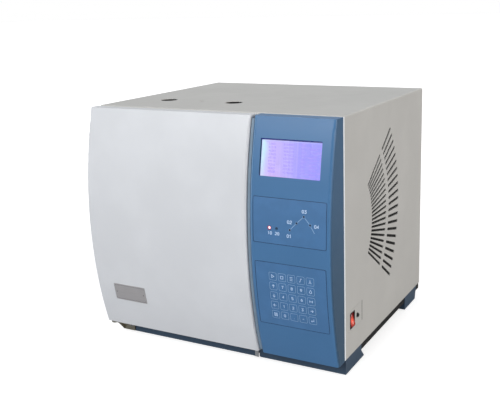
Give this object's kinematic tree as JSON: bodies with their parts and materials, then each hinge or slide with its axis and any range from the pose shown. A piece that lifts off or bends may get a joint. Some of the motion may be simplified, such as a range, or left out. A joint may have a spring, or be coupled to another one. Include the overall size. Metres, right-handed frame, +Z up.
{
  "type": "gas chromatograph",
  "caption": "Bench-top gas chromatograph: a box-shaped column oven with a curved swinging door, a curved control panel with display and keypad, and ports in the top.",
  "frame": {"origin": "middle of the overall box, on the bench under the feet", "axes": "+X to the right as seen from the front, +Y to the back, +Z up"},
  "size_m": [0.543, 0.535, 0.494],
  "materials": {
    "cover_paint": "fine satin powder coat, warm light grey",
    "door_paint": "smooth satin paint, cool off-white",
    "panel_paint": "smooth satin paint, mid blue",
    "base_paint": "satin paint, dark blue",
    "tray_steel": "dark grey coated steel",
    "frame_steel": "grey coated steel",
    "bracket_steel": "yellow-passivated steel",
    "stainless": "brushed stainless steel",
    "bright_steel": "ground steel",
    "aluminium": "milled aluminium",
    "brass": "turned brass",
    "insulation": "pressed ceramic fibre",
    "gasket": "woven glass rope",
    "rubber": "matte black rubber",
    "film_print": "printed polyester film",
    "window": "clear acrylic",
    "lcd": "lit display glass",
    "board": "solder-masked circuit board",
    "black_plastic": "moulded black plastic",
    "red_plastic": "translucent red plastic",
    "lamp": "tinted lamp lens",
    "motor_black": "black lacquered steel",
    "ceramic": "white steatite",
    "heater_wire": "oxidised heater sheath",
    "plate_metal": "brushed anodised plate",
    "magnet": "ferrite in a steel shell",
    "lamination": "varnished laminations and winding tape"
  },
  "bodies": {
    "case": {"base_tray": "tray_steel", "foot_bars": "base_paint", "foot_pads": "rubber", "front_frame": "frame_steel", "partition": "frame_steel", "rear_panel": "cover_paint", "outer_cover": "cover_paint", "oven_shell": "frame_steel", "oven_insulation": "insulation", "oven_liner": "stainless", "fan_baffle": "stainless", "heater_coil": "heater_wire", "heater_posts": "ceramic", "oven_motor": "motor_black", "motor_bracket": "frame_steel", "temperature_probe": "stainless", "column": "stainless", "column_nuts": "brass", "vent_ducts": "frame_steel", "flap_motor": "motor_black", "injector_body": "bright_steel", "septum_nut": "black_plastic", "port_heater_blocks": "aluminium", "detector_body": "bright_steel", "detector_chimney": "stainless", "gas_manifold": "aluminium", "gas_lines": "stainless", "gas_inlets": "brass", "hinge_bracket_lower": "bracket_steel", "hinge_bracket_upper": "bracket_steel", "hinge_pins": "bright_steel", "catch_magnet": "magnet", "control_panel": "panel_paint", "display_window": "window", "lcd_glass": "lcd", "lcd_module": "board", "status_film": "film_print", "keypad_film": "film_print", "indicator_lamps": "lamp", "panel_board": "board", "switch_plate": "cover_paint", "switch_body": "black_plastic", "fuse_holder": "black_plastic", "main_board": "board", "transformer": "lamination", "cooling_fan_frame": "black_plastic", "fan_guard": "bright_steel", "power_inlet": "black_plastic", "signal_connector": "bright_steel"},
    "door": {"door_skin": "door_paint", "door_liner": "stainless", "door_insulation": "insulation", "door_gasket": "gasket", "door_pivots": "ceramic", "nameplate": "plate_metal", "strike_plate": "bright_steel"},
    "rocker": {"power_rocker": "red_plastic"},
    "stirring_fan": {"oven_fan": "stainless"},
    "cooling_fan": {"cooling_fan_rotor": "black_plastic"},
    "flaps": {"vent_flaps": "stainless"}
  },
  "joints": [
    {"name": "door_swing", "type": "hinge", "parent": "case", "child": "door", "pos_m": [-0.2595, -0.226, 0.233], "axis": [0, 0, -1], "range_deg": [0, 110]},
    {"name": "rocker_press", "type": "hinge", "parent": "case", "child": "rocker", "pos_m": [0.2635, -0.1705, 0.102], "axis": [0, 1, 0], "range_deg": [0, 20]},
    {"name": "stirring_fan_spin", "type": "hinge", "parent": "case", "child": "stirring_fan", "pos_m": [-0.0865, 0.012, 0.22], "axis": [0, -1, 0], "continuous": true},
    {"name": "cooling_fan_spin", "type": "hinge", "parent": "case", "child": "cooling_fan", "pos_m": [0.1735, 0.232, 0.334], "axis": [0, 1, 0], "continuous": true},
    {"name": "flap_turn", "type": "hinge", "parent": "case", "child": "flaps", "pos_m": [0.0185, 0.093, 0.22], "axis": [0, 0, 1], "range_deg": [0, 85]}
  ]
}
